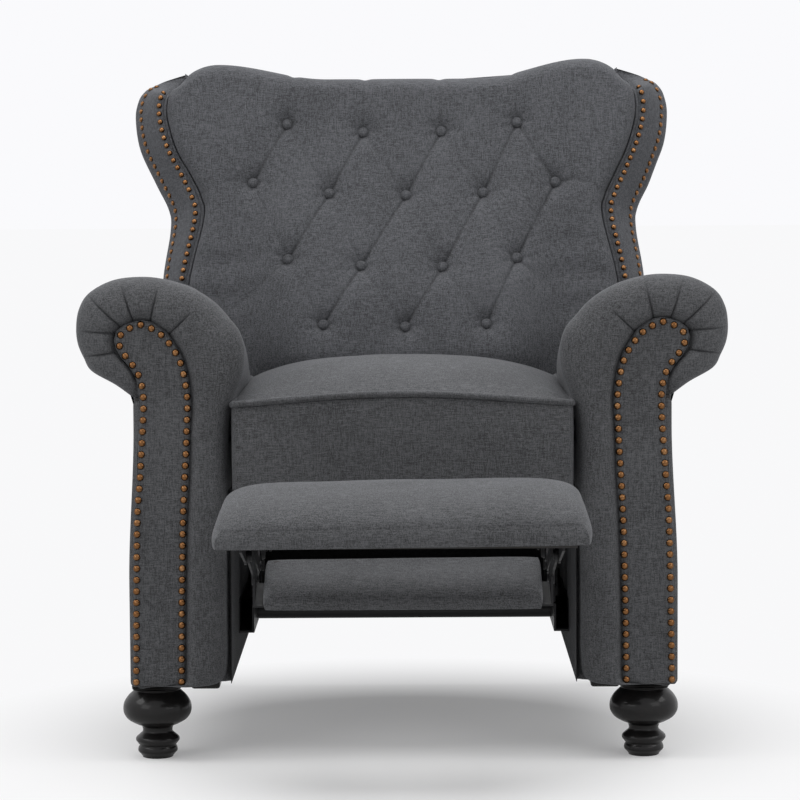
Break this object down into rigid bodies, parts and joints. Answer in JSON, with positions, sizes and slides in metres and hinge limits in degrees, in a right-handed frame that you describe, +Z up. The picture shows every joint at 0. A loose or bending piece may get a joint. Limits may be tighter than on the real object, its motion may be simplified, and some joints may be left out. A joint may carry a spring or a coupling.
{
  "type": "recliner",
  "caption": "High-leg push-back recliner with rolled nail-trimmed arms, a tufted wing back that reclines and a footrest that folds out on linkages.",
  "frame": {"origin": "on the floor, under the middle of the chair's outline with its footrest out", "axes": "+Z up, the chair faces -Y, +X is to the right as seen from the front"},
  "size_m": [0.896, 1.2614, 0.9911],
  "materials": {
    "frame_wood": "sawn",
    "foot_wood": "satin black stain",
    "arm_fabric": "linen-look weave",
    "back_fabric": "linen-look weave, tufted",
    "seat_fabric": "linen-look weave",
    "rest_fabric": "linen-look weave",
    "shell_fabric": "linen-look weave",
    "nail_bronze": "antique bronze",
    "mechanism_steel": "black semi-gloss",
    "spring_steel": "bright drawn wire"
  },
  "bodies": {
    "base": {"left_arm_frame": "frame_wood", "right_arm_frame": "frame_wood", "left_arm_pad": "arm_fabric", "right_arm_pad": "arm_fabric", "left_arm_side": "arm_fabric", "right_arm_side": "arm_fabric", "left_arm_facing": "arm_fabric", "right_arm_facing": "arm_fabric", "left_arm_nails": "nail_bronze", "right_arm_nails": "nail_bronze", "left_front_foot": "foot_wood", "right_front_foot": "foot_wood", "left_rear_leg": "foot_wood", "right_rear_leg": "foot_wood", "rear_rail": "frame_wood", "rear_cover": "shell_fabric", "left_base_rail": "mechanism_steel", "right_base_rail": "mechanism_steel", "front_cross_tube": "mechanism_steel", "rear_cross_tube": "mechanism_steel"},
    "front_swings": {"left_front_swing": "mechanism_steel", "right_front_swing": "mechanism_steel"},
    "rear_swings": {"left_rear_swing": "mechanism_steel", "right_rear_swing": "mechanism_steel"},
    "seat": {"left_seat_plate": "mechanism_steel", "right_seat_plate": "mechanism_steel", "seat_frame": "frame_wood", "seat_springs": "spring_steel", "seat_cushion": "seat_fabric", "seat_border": "seat_fabric", "seat_welt": "seat_fabric"},
    "back": {"left_back_bracket": "mechanism_steel", "right_back_bracket": "mechanism_steel", "back_core": "frame_wood", "outer_back": "shell_fabric", "back_cushion": "back_fabric", "back_buttons": "back_fabric", "left_wing_band": "shell_fabric", "right_wing_band": "shell_fabric", "left_wing_nails": "nail_bronze", "right_wing_nails": "nail_bronze"},
    "drive_links": {"left_drive_link": "mechanism_steel", "right_drive_link": "mechanism_steel"},
    "guide_links": {"left_guide_link": "mechanism_steel", "right_guide_link": "mechanism_steel"},
    "rear_long_links": {"left_rear_long_link": "mechanism_steel", "right_rear_long_link": "mechanism_steel"},
    "middle_rest": {"left_front_long_link": "mechanism_steel", "right_front_long_link": "mechanism_steel", "middle_board": "frame_wood", "middle_pad": "rest_fabric"},
    "footrest": {"left_footrest_bracket": "mechanism_steel", "right_footrest_bracket": "mechanism_steel", "footrest_board": "frame_wood", "footrest_pad": "rest_fabric"}
  },
  "joints": [
    {"name": "rear_swing", "type": "hinge", "parent": "base", "child": "rear_swings", "pos_m": [0, 0.31161, 0.33], "axis": [-1, 0, 0], "range_deg": [-5.1, 25.1]},
    {"name": "seat_level", "type": "hinge", "parent": "rear_swings", "child": "seat", "pos_m": [0, 0.32724, 0.24137], "axis": [-1, 0, 0], "range_deg": [-25.1, 5.1]},
    {"name": "front_swing", "type": "hinge", "parent": "base", "child": "front_swings", "pos_m": [0, 0.09161, 0.33], "axis": [-1, 0, 0], "range_deg": [-5.1, 25.1]},
    {"name": "recline", "type": "hinge", "parent": "seat", "child": "back", "pos_m": [0, 0.43161, 0.41], "axis": [-1, 0, 0], "range_deg": [-5, 25]},
    {"name": "footrest_fold", "type": "hinge", "parent": "seat", "child": "drive_links", "pos_m": [0, -0.06839, 0.335], "axis": [1, 0, 0], "range_deg": [0, 88]},
    {"name": "guide_turn", "type": "hinge", "parent": "seat", "child": "guide_links", "pos_m": [0, -0.01099, 0.357], "axis": [1, 0, 0], "range_deg": [0, 81.3]},
    {"name": "rear_link_turn", "type": "hinge", "parent": "drive_links", "child": "rear_long_links", "pos_m": [0, -0.21677, 0.28099], "axis": [-1, 0, 0], "range_deg": [0, 133.1]},
    {"name": "front_link_turn", "type": "hinge", "parent": "drive_links", "child": "middle_rest", "pos_m": [0, -0.28128, 0.27307], "axis": [-1, 0, 0], "range_deg": [0, 133.1]},
    {"name": "footrest_turn", "type": "hinge", "parent": "rear_long_links", "child": "footrest", "pos_m": [0, -0.39146, 0.33274], "axis": [1, 0, 0], "range_deg": [0, 133.1]}
  ],
  "couplings": [
    {"joint": "rear_swing", "follows": "recline", "ratio": 1},
    {"joint": "seat_level", "follows": "recline", "ratio": -1},
    {"joint": "front_swing", "follows": "recline", "ratio": 1},
    {"joint": "guide_turn", "follows": "footrest_fold", "ratio": 0.92273},
    {"joint": "rear_link_turn", "follows": "footrest_fold", "ratio": 1.5114},
    {"joint": "front_link_turn", "follows": "footrest_fold", "ratio": 1.5114},
    {"joint": "footrest_turn", "follows": "footrest_fold", "ratio": 1.5114}
  ]
}
